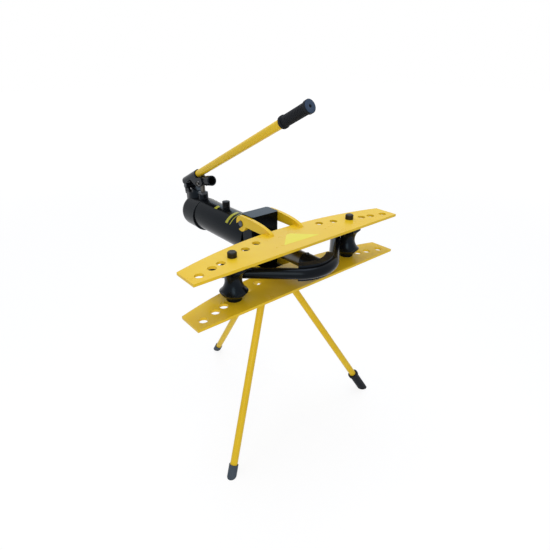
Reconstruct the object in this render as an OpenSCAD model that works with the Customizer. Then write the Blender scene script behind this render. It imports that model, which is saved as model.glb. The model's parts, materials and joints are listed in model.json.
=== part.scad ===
// Hydraulic pipe bender: two wing plates hooked onto a hand pump and ram, on a tripod, with a bent pipe.
// Millimetres. X runs along the plates, Y from the bend back to the pump, Z up from the floor.

/* [Wing plates] */
// Length of each wing plate
plate_l = 800; // [790:1:900]
// Thickness of each wing plate
plate_t = 8; // [6:0.5:10]
// Clear gap between the plates
plate_gap = 125; // [120:1:135]
// Underside of the lower plate above the floor
plate_level = 607; // [520:1:680]
// Straight front edge ahead of the outermost holes
plate_front = 32; // [28:1:45]
// Back edge at mid-length, behind the outermost holes
plate_back_mid = 119.5; // [110:0.5:124]
// Back edge at the ends of the plate
plate_back_end = 53; // [45:0.5:65]
// First pin hole from the ram
hole_1_x = 130; // [120:0.5:140]
// Second pin hole from the ram
hole_2_x = 180.5; // [172:0.5:190]
// Third pin hole from the ram, which holds the pins
hole_3_x = 238.5; // [232:0.5:244]
// Fourth pin hole from the ram
hole_4_x = 284.4; // [276:0.1:290]
// Fifth pin hole from the ram
hole_5_x = 318.5; // [314:0.5:330]
// Outermost pin hole from the ram
hole_6_x = 365.4; // [358:0.1:376]
// Share of the way inward by which the row of holes leans back
rake_share = 0.315; // [0.25:0.005:0.35]

/* [Wing pins and shoes] */
// Diameter of a wing pin
pin_d = 25; // [20:0.5:28]
// Step of a wing pin's head over the pin
pin_lip = 1; // [0.7:0.1:4]
// Height of a wing pin's head
pin_head_h = 16; // [12:1:24]
// Chamfer on a wing pin's head and tip
pin_chamfer = 2.5; // [1:0.5:5]
// Radius of a shoe's end bosses
shoe_boss_r = 23; // [20:0.5:26]
// Radius of a shoe's flanges
shoe_r = 42; // [38:0.5:44]
// Distance across a shoe's flats
shoe_flats = 74; // [70:1:80]
// Half height of a shoe's flanged middle
shoe_half_h = 48; // [44:1:52]
// Radius of a shoe's waist
shoe_waist_r = 25; // [22:0.5:28]
// Radius of the hollow round a shoe's waist
shoe_hollow_r = 44.5; // [40:0.5:50]
// Narrowing of a shoe's flanges toward their bosses
shoe_slope = 11; // [6:0.5:14]
// Height over which a shoe's flanges narrow
shoe_slope_h = 13; // [8:0.5:16]

/* [Head block and hook lugs] */
// Width of the head block
block_w = 110; // [100:1:116]
// Front face of the head block
block_front = 192; // [186:1:198]
// Depth of the head block along the ram
block_depth = 62; // [58:1:70]
// Head block beyond each plate's outer face
block_over = 28; // [22:1:34]
// Chamfer on the head block's upright edges
block_chamfer = 6; // [3:0.5:8]
// Rise of the ram's axis above the middle of the gap
axis_lift = 0.5; // [0:0.5:6]
// Thickness of a hook lug
lug_t = 12; // [8:0.5:14]
// Front tip of a hook lug
lug_front = 84; // [70:1:96]
// Place of a hook lug's crown
lug_crown_y = 215; // [200:1:225]
// Height of a hook lug's crown over its plate
lug_crown = 25; // [20:0.5:30]
// Radius of a hook lug's eye
lug_eye_r = 26.5; // [22:0.5:30]
// Place of the hook studs
stud_y = 240; // [230:1:243]
// Hook studs below the plate's outer face
stud_drop = 2; // [0:0.5:6]
// Diameter of a hook stud
stud_d = 19; // [14:0.5:21]
// Depth of a hook stud in the head block
stud_sink = 14; // [8:0.5:15]
// Hook stud beyond its lug
stud_out = 3; // [1:0.5:6]
// Slant of the hook's mouth, in degrees
hook_slant = 35; // [20:1:50]

/* [Ram] */
// Diameter of the ram rod
rod_d = 50; // [44:1:52]
// Front face of the piston
piston_y = 300; // [292:1:320]
// Length of the piston
piston_l = 40; // [30:1:50]
// Width of the piston's seal groove
seal_groove_w = 6; // [4:0.5:8]
// Depth of the piston's seal groove
seal_groove = 3; // [2:0.5:4]
// Diameter of the rod's tail in the piston
tail_d = 36; // [24:1:40]
// Length of the rod's tail in the piston
tail_l = 25; // [15:1:28]
// Diameter of the rod's nose in the former
nose_d = 30; // [24:0.5:34]
// Length of the rod's nose in the former
nose_l = 40; // [30:1:44]
// Outer radius of the gland bush
bush_r = 32; // [30:0.5:34]
// Outer radius of the gland bush's flange
bush_flange_r = 40; // [37:0.5:43]
// Thickness of the gland bush's flange
bush_flange_t = 8; // [5:0.5:12]
// Outer radius of the gland nut
nut_r = 48; // [46:0.5:52]
// Length of the gland nut in front of the block
nut_l = 30; // [22:1:34]
// Depth of the gland nut's spigot in the block
nut_spigot = 6; // [4:0.5:8]
// Spanner notches round the gland nut
nut_notches = 6; // [4:1:8]
// Width of a spanner notch
notch_w = 10; // [6:0.5:12]
// Depth of a spanner notch
notch_deep = 4; // [2:0.5:6]
// Outer radius of the rod wiper
wiper_r = 31; // [29:0.5:34]
// Length of the rod wiper
wiper_l = 8; // [5:0.5:12]
// Wire radius of the return spring
spring_wire_r = 2; // [1.5:0.05:2.1]
// Turns of the return spring
spring_turns = 9; // [7:1:10]

/* [Cylinder] */
// Outer diameter of the reservoir tube
reservoir_d = 121; // [112:1:123]
// Wall of the reservoir tube
reservoir_wall = 4; // [3:0.5:6]
// Thickness of an end gasket
gasket_t = 1.5; // [1:0.25:2]
// Inner diameter of the pressure tube
pressure_bore = 60; // [58:1:62]
// Wall of the pressure tube
pressure_wall = 6; // [4:0.5:8]
// Depth of the pressure tube's end seats
pressure_seat = 8; // [5:0.5:10]
// Place of the filler plug
filler_y = 428; // [380:1:460]
// Radius of the filler neck
neck_r = 11; // [10:0.5:13]
// Filler neck above the reservoir
neck_h = 2.5; // [1.5:0.5:6]
// Radius of the filler plug's head
filler_r = 14; // [12:0.5:18]
// Height of the filler plug's head
filler_h = 22; // [16:1:28]
// Radius of the filler plug's stem
filler_stem_r = 8; // [6:0.5:8.5]
// Length of the filler plug's stem
filler_stem_l = 14; // [9:1:18]
// Grip flutes round the filler plug
flutes = 12; // [8:1:14]
// Radius of a grip flute
flute_r = 2; // [1:0.25:2.5]

/* [Pump head] */
// Front face of the pump casting
pump_y = 570; // [550:1:590]
// Radius of the pump casting
pump_r = 64; // [62:0.5:68]
// Pump casting's middle below the ram's axis
pump_drop = 4; // [2:0.5:6]
// Rounding of the casting's rear end
pump_round = 32; // [24:1:40]
// Casting's rear end behind the column's middle
pump_tail = 12; // [8:0.5:20]
// Radius of the casting's seam ring
seam_r = 65; // [64.5:0.5:69]
// Width of the casting's seam ring
seam_w = 8; // [5:0.5:12]
// Lever's column ahead of the fulcrum
column_lead = 14; // [10:0.5:18]
// Radius of the lever's column
column_r = 28; // [25:0.5:29]
// Middle of the column's round foot above the ram's axis
column_foot = 10; // [5:1:20]
// Top of the column above the upper plate
column_top = 4; // [0:0.5:8]
// Height of the fulcrum over the upper plate
fulcrum_h = 22.5; // [21.5:0.5:24]
// Thickness of a fork ear
ear_t = 10; // [7:0.5:12]
// Radius of a fork ear's end
ear_r = 12; // [10:0.5:12]
// Half width of a fork ear's foot
ear_foot = 22; // [18:0.5:25]
// Depth of a fork ear in the column
ear_sink = 12; // [8:0.5:16]
// Diameter of the fulcrum pin
fulcrum_d = 12; // [10:0.5:14]
// Radius of the fulcrum pin's head
fulcrum_head_r = 9; // [8:0.5:12]
// Thickness of the fulcrum pin's head
fulcrum_head_t = 4; // [2:0.5:6]
// Pump plunger behind the casting's front face
plunger_in = 20; // [19.5:0.5:24]
// Pump plunger ahead of the fulcrum
plunger_arm = 92; // [80:0.5:104]
// Radius of the plunger's barrel
barrel_r = 19; // [17:0.25:19]
// Top of the plunger's barrel over the upper plate
barrel_top = 6; // [2:0.5:7]
// Diameter of the plunger
plunger_d = 18; // [16:0.5:19]
// Foot of the plunger below the upper plate
plunger_foot = 40; // [36:0.5:44]
// Bottom of the plunger's bore below the upper plate
plunger_bore_foot = 75; // [72:0.5:80]
// Top of the plunger over its cross pin
plunger_tip = 10; // [9:0.5:12]
// Radius of the plunger's seal
plunger_seal_r = 12.5; // [11:0.25:13]
// Height of the plunger's seal
plunger_seal_h = 10; // [6:0.5:14]
// Radius of the plunger's square gland nut, at its rounded corners
plunger_gland_r = 19; // [17:0.25:19]
// Height of the plunger's gland nut
plunger_gland_h = 9.5; // [6:0.5:9.5]
// Cross pin's height over the upper plate
cross_h = 50; // [49.5:0.5:51]
// Diameter of the cross pin
cross_d = 12; // [9:0.5:12]
// Length of the cross pin
cross_l = 46; // [45:0.5:52]
// Release valve behind the casting's front face
release_in = 72; // [68:0.5:76]
// Radius of the release valve's boss
release_boss_r = 14; // [11:0.5:15]
// End of the release valve's boss from the ram's axis
release_boss_x = 72; // [66:0.5:78]
// Radius of the release stem
release_stem_r = 6; // [4:0.5:7]
// Depth of the release stem in its boss
release_sink = 42; // [30:0.5:46]
// Gap between the release knob and its boss
release_gap = 5; // [2:0.5:8]
// Radius of the release knob
release_knob_r = 18; // [14:0.5:20]
// Thickness of the release knob
release_knob_t = 14; // [10:0.5:18]
// Distance between the two valve plugs
valve_pitch = 24; // [22:0.5:26]
// Valve plugs below the ram's axis
valve_drop = 26; // [25:0.5:30]
// Face of the valve plug bosses from the ram's axis
valve_face_x = 63; // [62:0.5:66]
// Radius of a valve plug's boss
valve_boss_r = 10.5; // [9.5:0.25:11]
// Radius of a valve plug's shank
valve_r = 7; // [5.5:0.25:7.5]
// Length of a valve plug's shank
valve_shank = 26; // [18:0.5:30]
// Depth of a valve's bore from its face
valve_deep = 62; // [60:0.5:63]
// Radius of a valve plug's hexagon, across corners
valve_hex_r = 9.5; // [8.5:0.25:10.5]
// Thickness of a valve plug's hexagon
valve_hex_t = 7; // [5:0.5:9]
// Radius of a check ball
ball_r = 5; // [4:0.25:5.25]
// Radius of the oil ways
way_r = 3; // [2:0.25:3.5]

/* [Lever and handle] */
// Tilt of the handle above level, in degrees
handle_tilt = 25.4; // [20:0.1:28]
// Socket axis above the fulcrum, square to the handle
socket_lift = 24; // [23.1:0.1:26]
// Radius of the handle socket
socket_r = 18; // [17:0.25:18]
// Socket behind the fulcrum
socket_rear = 31; // [26:0.5:40]
// Socket's mouth ahead of the fulcrum
socket_mouth = 87.5; // [84:0.5:90]
// Depth of the handle in its socket
socket_deep = 80; // [60:1:84]
// Thickness of a lever cheek
cheek_t = 7; // [5:0.5:8]
// Gap from the fulcrum to a cheek's upper rear corner
cheek_rear = 42; // [38:0.5:46]
// Cheek's lap along the spare socket
cheek_lap = 13; // [10:0.5:18]
// Cheek's top above the fulcrum
cheek_top = 25; // [22:0.5:28]
// Cheek's edge above the fulcrum at the socket's mouth
cheek_brow = 19; // [15:0.5:21]
// Cheek's edge above the fulcrum over the cross pin
cheek_dip = 8; // [4:0.5:10]
// Cheek's underside below the fulcrum
cheek_low = 28.5; // [27.5:0.25:29]
// Inner end of the cross pin's slot short of the pin
slot_in = 7; // [5:0.25:8]
// Outer end of the cross pin's slot past the pin
slot_out = 7; // [6.5:0.25:8]
// Slope of the spare socket below the handle, in degrees
spare_slope = 14.4; // [12:0.2:16]
// Rear end of the spare socket ahead of the cross pin
spare_gap = 22.5; // [22:0.25:24]
// Spare socket's axis below the fulcrum at its rear end
spare_low = 11.3; // [10:0.1:13]
// Length of the spare socket
spare_l = 54.5; // [50:0.5:80]
// Depth of the spare socket's bore
spare_deep = 40; // [30:1:44]
// Radius of the spare socket's collar
spare_collar_r = 19; // [18.5:0.25:22]
// Width of the spare socket's collar
spare_collar_w = 25; // [10:0.5:30]
// Diameter of the handle tube
handle_d = 28; // [26:0.5:29]
// Wall of the handle tube
handle_wall = 3; // [2:0.25:4]
// Handle and grip out of the socket
handle_out = 676; // [560:1:720]
// Length of the grip
grip_l = 119; // [100:1:140]
// Diameter of the grip
grip_d = 33.5; // [33:0.5:37]
// Diameter of the grip's end collars
grip_collar_d = 38.5; // [37:0.5:44]
// Width of the grip's end collars
grip_collar_w = 9; // [6:0.5:14]
// Thickness of the grip's closed end
grip_end = 6; // [4:0.5:10]
// Diameter of the hole in the grip's end
grip_hole_d = 5; // [4:0.5:8]
// Ribs along the grip
grip_ribs = 16; // [10:1:18]
// Depth of the grooves between the grip's ribs
grip_groove = 1; // [0.5:0.1:1.5]
// Share of a rib's pitch taken by its groove
grip_groove_share = 0.4; // [0.3:0.05:0.6]
// Lock screw ahead of the fulcrum
screw_y = 62; // [50:0.5:70]
// Diameter of the lock screw
screw_d = 8; // [6:0.5:10]
// Radius of the lock screw's boss
screw_boss_r = 9; // [8:0.25:11]
// Lock screw's boss out of the socket's side
screw_boss_h = 7; // [6:0.25:9]
// Radius of the lock screw's hexagon, across corners
screw_hex_r = 7.5; // [6.5:0.25:8.5]
// Thickness of the lock screw's hexagon
screw_hex_t = 6; // [4:0.25:8]

/* [Former and pipe] */
// Diameter of the pipe
pipe_d = 33.7; // [31:0.1:34]
// Wall of the pipe
pipe_wall = 3.25; // [2:0.05:4]
// Radius of the bend at the pipe's middle
bend_r = 112; // [106:0.5:118]
// Bend of the pipe, in degrees
bend_angle = 84; // [80:1:88]
// Swelling of the pipe where it is bent
bend_swell = 0.1; // [0.05:0.01:0.15]
// Straight length of each pipe arm
arm_l = 270; // [240:1:285]
// Height of the former
former_h = 50; // [44:1:56]
// Former's rim inside the pipe's middle
former_short = 1; // [0.5:0.25:4]
// Radius of the former's inner face
former_in_r = 86; // [80:0.5:88]
// Radius of the former's boss
former_boss_r = 27; // [25:0.5:30]
// End of the former's boss ahead of the bend's centre
former_boss_y = 32; // [28:0.5:36]
// Former's pin ahead of the boss's end
former_pin_in = 10; // [8:0.5:14]
// Diameter of the former's pin
former_pin_d = 10; // [7:0.5:11]
// Former's pin out of the boss at each end
former_pin_out = 3; // [1:0.5:5]

/* [Tripod] */
// Place of the tripod's head
disc_y = 172; // [168:1:176]
// Radius of the tripod's head
disc_r = 68; // [64:0.5:74]
// Thickness of the tripod's head
disc_t = 12; // [8:0.5:16]
// Place of the head's bolts along the ram
bolt_y = 212; // [208:0.5:216]
// Place of the head's bolts to each side
bolt_x = 38; // [34:0.5:42]
// Diameter of the head's bolts
bolt_d = 10; // [8:0.5:12]
// Depth of the head's bolts in the block
bolt_sink = 22; // [15:0.5:28]
// Radius of a bolt's hexagon, across corners
bolt_hex_r = 9; // [8:0.25:10]
// Thickness of a bolt's hexagon
bolt_hex_t = 7; // [5:0.5:9]
// Ring on which the leg sockets stand
socket_ring = 43; // [40:0.5:47]
// Diameter of a leg socket
leg_socket_d = 33; // [31:0.5:36]
// Length of a leg socket
leg_socket_l = 62; // [50:1:80]
// Start of a leg in its socket
leg_seat = 10; // [8.5:0.5:14]
// Diameter of a leg
leg_d = 25; // [22:0.5:27]
// Wall of a leg
leg_wall = 2.5; // [1.5:0.25:4]
// Swing of the front legs to each side, in degrees
leg_swing = 58.5; // [50:0.5:65]
// Ring on which the front feet stand
front_ring = 388; // [350:1:410]
// Ring on which the rear foot stands
rear_ring = 407; // [360:1:420]
// Diameter of a foot cap
foot_d = 31; // [29:0.5:34]
// Length of a foot cap
foot_l = 38; // [32:1:60]
// Sole of a foot along the leg
foot_sole = 12; // [11:0.5:16]
// Diameter of the long foot sleeve
sleeve_d = 33; // [30:0.5:36]
// Length of the long foot sleeve
sleeve_l = 92; // [70:1:110]
// Diameter of the long foot sleeve's collar
sleeve_collar_d = 40; // [37:0.5:44]
// Width of the long foot sleeve's collar
sleeve_collar_w = 10; // [6:0.5:16]

/* [Clearances] */
// Radial fit of a shaft that runs in its hole
run_fit = 0.05; // [0.02:0.01:0.1]
// Radial gap of a piece that is fixed in its hole
fix_fit = 0.1; // [0.05:0.01:0.2]
// Gap between faces that pass each other
pass_gap = 0.3; // [0.2:0.05:0.5]
// Gap round a shaft that must not touch
free_gap = 0.6; // [0.4:0.05:1]
// Play of a shoe between the plates
shoe_play = 0.5; // [0.3:0.05:1]
// Play of a hook eye on its stud
hook_play = 1; // [0.5:0.05:1.5]
// Play of the cross pin in its slots
slot_play = 1.5; // [1.3:0.05:1.75]
// Clear width from the lever's middle to a cheek
cheek_gap = 15; // [14.8:0.1:15.5]
// Gap from the lever's middle to a fork ear
ear_gap = 14.5; // [14.4:0.05:14.8]
// Play at the ends of the return spring
spring_play = 0.2; // [0.1:0.05:0.5]

/* [Hidden] */
$fn = 96;
over = plate_t / 8;
hole_r = pin_d / 2 + pass_gap;
lower_top = plate_level + plate_t;
upper_low = lower_top + plate_gap;
upper_top = upper_low + plate_t;
gap_mid = lower_top + plate_gap / 2;
axis_z = gap_mid + axis_lift;
back_rise = plate_back_mid - plate_back_end;
back_r = (pow(plate_l / 2, 2) + pow(back_rise, 2)) / (2 * back_rise);
hole_x = [hole_1_x, hole_2_x, hole_3_x, hole_4_x, hole_5_x, hole_6_x];
function hole_y(x) = rake_share * (hole_6_x - x);
pin_x = hole_3_x;
pin_y = hole_y(pin_x);
block_rear = block_front + block_depth;
block_low = plate_level - block_over;
block_high = upper_top + block_over;
lug_x = block_w / 2 + lug_t / 2;
stud_z = upper_top - stud_drop;
rod_r = rod_d / 2;
nut_y = block_front - nut_l;
bush_y = block_front + nut_spigot;
bush_end = block_rear - pressure_seat;
plunger_y = pump_y + plunger_in;
fulcrum_y = plunger_y + plunger_arm;
column_y = fulcrum_y - column_lead;
pump_l = column_y + pump_tail - pump_y;
release_y = pump_y + release_in;
valve_y = [plunger_y, plunger_y + valve_pitch];
barrel_z = upper_top + barrel_top;
gland_half = cheek_gap - free_gap;
bore_r = pressure_bore / 2;
pressure_r = bore_r + pressure_wall;
reservoir_r = reservoir_d / 2;
neck_top = axis_z + reservoir_r + neck_h;
fulcrum_z = upper_top + fulcrum_h;
ear_x = ear_gap + ear_t / 2;
ear_out = ear_gap + ear_t;
boss_half = ear_gap - pass_gap;
fulcrum_r = fulcrum_d / 2;
plunger_r = plunger_d / 2;
cross_r = cross_d / 2;
cross_z = upper_top + cross_h;
valve_z = axis_z - valve_drop;
handle_r = handle_d / 2;
cross_reach = norm([fulcrum_y - plunger_y, cross_h - fulcrum_h]);
cross_dip = handle_tilt - atan((cross_h - fulcrum_h) / (fulcrum_y - plunger_y));
cross_y = cross_reach * cos(cross_dip);
slot_r = cross_r + slot_play;
spare_rear = cross_y + spare_gap;
cheek_front = spare_rear + cheek_lap;
pipe_r = pipe_d / 2;
groove_r = pipe_r + pass_gap;
bend_half = bend_angle / 2;
pin_head_r = pin_d / 2 + pin_lip;
pin_to_pipe = shoe_waist_r + groove_r;
bend_y = pin_y + pin_to_pipe / cos(bend_half) - pin_x * tan(bend_half) + bend_r / cos(bend_half);
former_rim = bend_r - former_short;
boss_y = bend_y - former_boss_y;
nose_r = nose_d / 2;
former_pin_y = boss_y - former_pin_in;
disc_low = block_low - disc_t;
leg_r = leg_d / 2;
front_y = bend_y - bend_r - pipe_r - bend_swell;
rear_y = fulcrum_y + socket_rear * cos(handle_tilt) + (socket_lift + socket_r) * sin(handle_tilt);
mid_y = (front_y + rear_y) / 2;
yellow = [0.86, 0.66, 0.12];
black = [0.08, 0.08, 0.09];
steel = [0.55, 0.56, 0.58];
dark = [0.2, 0.2, 0.22];
rubber = [0.14, 0.15, 0.17];

// Shared moves and shapes

// Moves a piece so that the part's middle lies over the origin.
module place() translate([0, -mid_y, 0]) children();

// Stands a side profile, drawn as depth and height, across the ram's plane.
module side(w) rotate([90, 0, 90]) linear_extrude(w, center = true) children();

// Turns an upright piece to lie along the ram's axis from y.
module along_ram(y) translate([0, y, axis_z]) rotate([-90, 0, 0]) children();

// Turns an upright piece to point to the right.
module to_right() rotate([0, 90, 0]) children();

module ring(h, r, bore) {
    difference() {
        cylinder(h, r = r);
        translate([0, 0, -over]) cylinder(h + 2 * over, r = bore);
    }
}

module hexagon(h, r) cylinder(h, r = r, $fn = 6);

// Wing plates

module plate() {
    linear_extrude(plate_t) difference() {
        intersection() {
            translate([-plate_l / 2, -plate_front]) square([plate_l, plate_front + plate_back_mid]);
            translate([0, plate_back_mid - back_r]) circle(back_r);
        }
        for (s = [-1, 1], x = hole_x) translate([s * x, hole_y(x)]) circle(hole_r);
    }
}

module upper_plate() color(yellow) place() translate([0, 0, upper_low]) plate();

module lower_plate() color(yellow) place() translate([0, 0, plate_level]) plate();

// Side profile of a lug: it stands on its plate, drops behind the plate's back edge and hooks over a stud.
module lug_side() {
    steps = 16;
    rise = [for (i = [0 : steps]) [
        lug_crown_y - (lug_crown_y - lug_front) * cos(90 * i / steps),
        lug_crown * sin(90 * i / steps)]];
    step_y = plate_back_mid + pass_gap;
    difference() {
        union() {
            polygon(concat(rise, [[stud_y, lug_eye_r - stud_drop], [stud_y, -plate_t],
                [step_y, -plate_t], [step_y, 0]]));
            translate([stud_y, -stud_drop]) circle(lug_eye_r);
        }
        translate([stud_y, -stud_drop]) circle(stud_d / 2 + hook_play);
        translate([stud_y, -stud_drop]) rotate(-hook_slant)
            translate([0, -stud_d / 2 - hook_play]) square([2 * lug_eye_r, stud_d + 2 * hook_play]);
    }
}

module lugs() {
    for (s = [-1, 1]) translate([s * lug_x, 0, upper_top]) side(lug_t) lug_side();
}

// Turns the upper hooks over for the lower plate.
module below() translate([0, 0, gap_mid]) mirror([0, 0, 1]) translate([0, 0, -gap_mid]) children();

module upper_lugs() color(yellow) place() lugs();

module lower_lugs() color(yellow) place() below() lugs();

// Head block with its gland, and the studs that the plates hook onto

module head_block() color(black) place() difference() {
    translate([0, 0, block_low]) linear_extrude(block_high - block_low) polygon([
        [-block_w / 2, block_front + block_chamfer], [-block_w / 2 + block_chamfer, block_front],
        [block_w / 2 - block_chamfer, block_front], [block_w / 2, block_front + block_chamfer],
        [block_w / 2, block_rear - block_chamfer], [block_w / 2 - block_chamfer, block_rear],
        [-block_w / 2 + block_chamfer, block_rear], [-block_w / 2, block_rear - block_chamfer]]);
    along_ram(block_front - over) cylinder(block_depth + 2 * over, r = bush_r + fix_fit);
    along_ram(block_front - over) cylinder(nut_spigot + bush_flange_t + over, r = bush_flange_r + fix_fit);
    along_ram(bush_end) cylinder(pressure_seat + over, r = pressure_r + fix_fit);
    studs(stud_d / 2 + fix_fit);
    for (s = [-1, 1]) translate([s * bolt_x, bolt_y, block_low - over])
        cylinder(bolt_sink + over, r = bolt_d / 2 + fix_fit);
}

module stud_pair(r) {
    for (s = [-1, 1]) translate([s * (block_w / 2 - stud_sink), stud_y, stud_z]) rotate([0, s * 90, 0])
        cylinder(stud_sink + lug_t + stud_out, r = r);
}

module studs(r) {
    stud_pair(r);
    below() stud_pair(r);
}

module hook_studs() color(steel) place() studs(stud_d / 2);

module gland_bush() color(steel) place() along_ram(bush_y) difference() {
    union() {
        cylinder(bush_flange_t, r = bush_flange_r);
        cylinder(bush_end - bush_y, r = bush_r);
    }
    translate([0, 0, -over]) cylinder(bush_end - bush_y + 2 * over, r = rod_r + run_fit);
}

module gland_nut() color(black) place() along_ram(nut_y) difference() {
    union() {
        cylinder(nut_l, r = nut_r);
        cylinder(nut_l + nut_spigot, r = bush_flange_r);
    }
    translate([0, 0, -over]) cylinder(nut_l + nut_spigot + 2 * over, r = rod_r + free_gap);
    translate([0, 0, -over]) cylinder(wiper_l + over, r = wiper_r + fix_fit);
    for (i = [1 : nut_notches]) rotate(360 * i / nut_notches)
        translate([nut_r - notch_deep, -notch_w / 2, -over]) cube([notch_deep + over, notch_w, nut_l / 2]);
}

module rod_wiper() color(rubber) place() along_ram(nut_y) ring(wiper_l, wiper_r, rod_r + run_fit);

// Cylinder

module reservoir_tube() color(black) place() {
    tube_y = block_rear + gasket_t;
    difference() {
        union() {
            along_ram(tube_y) ring(pump_y - gasket_t - tube_y, reservoir_r, reservoir_r - reservoir_wall);
            translate([0, filler_y, neck_top - neck_h - reservoir_wall])
                cylinder(reservoir_wall + neck_h, r = neck_r);
        }
        translate([0, filler_y, neck_top - filler_stem_l - over])
            cylinder(filler_stem_l + 2 * over, r = filler_stem_r + run_fit);
    }
}

module tube_gaskets() color(rubber) place() {
    for (y = [block_rear, pump_y - gasket_t])
        along_ram(y) ring(gasket_t, reservoir_r, reservoir_r - reservoir_wall);
}

module pressure_tube() color(steel) place() along_ram(bush_end)
    ring(pump_y + pressure_seat - bush_end, pressure_r, bore_r);

module filler_plug() color(black) place() translate([0, filler_y, neck_top]) {
    difference() {
        cylinder(filler_h, r = filler_r);
        for (i = [1 : flutes]) rotate(360 * i / flutes)
            translate([filler_r, 0, filler_h / 4]) cylinder(filler_h, r = flute_r);
    }
    translate([0, 0, -filler_stem_l]) cylinder(filler_stem_l + over, r = filler_stem_r);
}

// Pump head: one casting carries the plunger's barrel, the lever's fork and the valves

module ear_side() {
    polygon([[fulcrum_y - ear_r, fulcrum_z], [fulcrum_y + ear_r, fulcrum_z],
        [column_y + ear_foot, upper_top + column_top - ear_sink],
        [column_y - ear_foot, upper_top + column_top - ear_sink]]);
    translate([fulcrum_y, fulcrum_z]) circle(ear_r);
}

module casting() {
    translate([0, 0, -pump_drop]) along_ram(pump_y) rotate_extrude() {
        square([seam_r, seam_w]);
        square([pump_r, pump_l - pump_round]);
        square([pump_r - pump_round, pump_l]);
        translate([pump_r - pump_round, pump_l - pump_round]) intersection() {
            circle(pump_round);
            square(pump_round);
        }
    }
    translate([0, column_y, axis_z + column_foot]) {
        cylinder(upper_top + column_top - axis_z - column_foot, r = column_r);
        sphere(column_r);
    }
    for (s = [-1, 1]) translate([s * ear_x, 0, 0]) side(ear_t) ear_side();
    translate([0, plunger_y, axis_z]) cylinder(barrel_z - axis_z, r = barrel_r);
    translate([0, release_y, axis_z]) to_right() cylinder(release_boss_x, r = release_boss_r);
    for (y = valve_y) translate([0, y, valve_z]) to_right() cylinder(valve_face_x, r = valve_boss_r);
}

module pump_body() color(black) place() difference() {
    casting();
    along_ram(pump_y - over) cylinder(pressure_seat + over, r = pressure_r + fix_fit);
    translate([0, plunger_y, upper_top - plunger_bore_foot])
        cylinder(plunger_bore_foot + barrel_top + over, r = plunger_r + run_fit);
    translate([0, plunger_y, barrel_z - plunger_seal_h])
        cylinder(plunger_seal_h + over, r = plunger_seal_r + fix_fit);
    translate([-ear_out - over, fulcrum_y, fulcrum_z]) to_right()
        cylinder(2 * (ear_out + over), r = fulcrum_r + fix_fit);
    translate([release_boss_x - release_sink, release_y, axis_z]) to_right()
        cylinder(release_sink + over, r = release_stem_r + run_fit);
    for (y = valve_y) translate([valve_face_x - valve_deep, y, valve_z]) to_right()
        cylinder(valve_deep + over, r = valve_r + fix_fit);
    translate([valve_face_x - valve_deep + valve_r, plunger_y, valve_z])
        cylinder(upper_top - plunger_bore_foot - valve_z + over, r = way_r);
    translate([valve_face_x - valve_deep + valve_r, pump_y, valve_z]) rotate([-90, 0, 0])
        cylinder(valve_y[1] - pump_y, r = way_r);
}

module plunger_gland() color(steel) place() translate([0, plunger_y, barrel_z]) difference() {
    intersection() {
        cylinder(plunger_gland_h, r = plunger_gland_r);
        translate([-gland_half, -gland_half, 0]) cube([2 * gland_half, 2 * gland_half, plunger_gland_h]);
    }
    translate([0, 0, -over]) cylinder(plunger_gland_h + 2 * over, r = plunger_r + run_fit);
}

module plunger_seal() color(rubber) place() translate([0, plunger_y, barrel_z - plunger_seal_h])
    ring(plunger_seal_h, plunger_seal_r, plunger_r + run_fit);

module plunger() color(steel) place() difference() {
    translate([0, plunger_y, upper_top - plunger_foot])
        cylinder(plunger_foot + cross_h + plunger_tip, r = plunger_r);
    translate([-plunger_r - over, plunger_y, cross_z]) to_right()
        cylinder(2 * (plunger_r + over), r = cross_r + fix_fit);
}

module cross_pin() color(steel) place() translate([-cross_l / 2, plunger_y, cross_z]) to_right()
    cylinder(cross_l, r = cross_r);

module fulcrum_pin() color(steel) place()
    translate([-ear_out - fulcrum_head_t, fulcrum_y, fulcrum_z]) to_right() {
        cylinder(2 * (ear_out + fulcrum_head_t), r = fulcrum_r);
        cylinder(fulcrum_head_t, r = fulcrum_head_r);
        translate([0, 0, 2 * ear_out + fulcrum_head_t]) cylinder(fulcrum_head_t, r = fulcrum_head_r);
    }

module release_stem() color(steel) place() translate([release_boss_x, release_y, axis_z]) to_right()
    translate([0, 0, -release_sink]) cylinder(release_sink + release_gap + release_knob_t, r = release_stem_r);

module release_knob() color(black) place()
    translate([release_boss_x + release_gap, release_y, axis_z]) to_right() difference() {
        cylinder(release_knob_t, r = release_knob_r);
        translate([0, 0, -over]) cylinder(release_knob_t + 2 * over, r = release_stem_r + fix_fit);
        for (i = [1 : flutes]) rotate(360 * i / flutes)
            translate([release_knob_r, 0, -over]) cylinder(release_knob_t + 2 * over, r = flute_r);
    }

module valve_plugs() color(steel) place() {
    for (y = valve_y) translate([valve_face_x, y, valve_z]) to_right() {
        hexagon(valve_hex_t, valve_hex_r);
        translate([0, 0, -valve_shank]) cylinder(valve_shank + over, r = valve_r);
    }
}

module check_balls() color(steel) place() {
    for (y = valve_y)
        translate([valve_face_x - valve_deep + ball_r, y, valve_z - valve_r - fix_fit + ball_r]) sphere(ball_r);
}

// Lever: socket for the handle, slotted cheeks for the cross pin and a second socket at the pumping angle

module at_lever() translate([0, fulcrum_y, fulcrum_z]) rotate([-handle_tilt, 0, 0]) children();

// Turns an upright piece to run forward along the handle.
module forward() rotate([90, 0, 0]) children();

module at_socket(y) translate([0, -y, socket_lift]) forward() children();

module at_spare() translate([0, -spare_rear, -spare_low]) rotate([spare_slope, 0, 0]) forward() children();

module at_screw() translate([0, -screw_y, socket_lift]) to_right() children();

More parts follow.
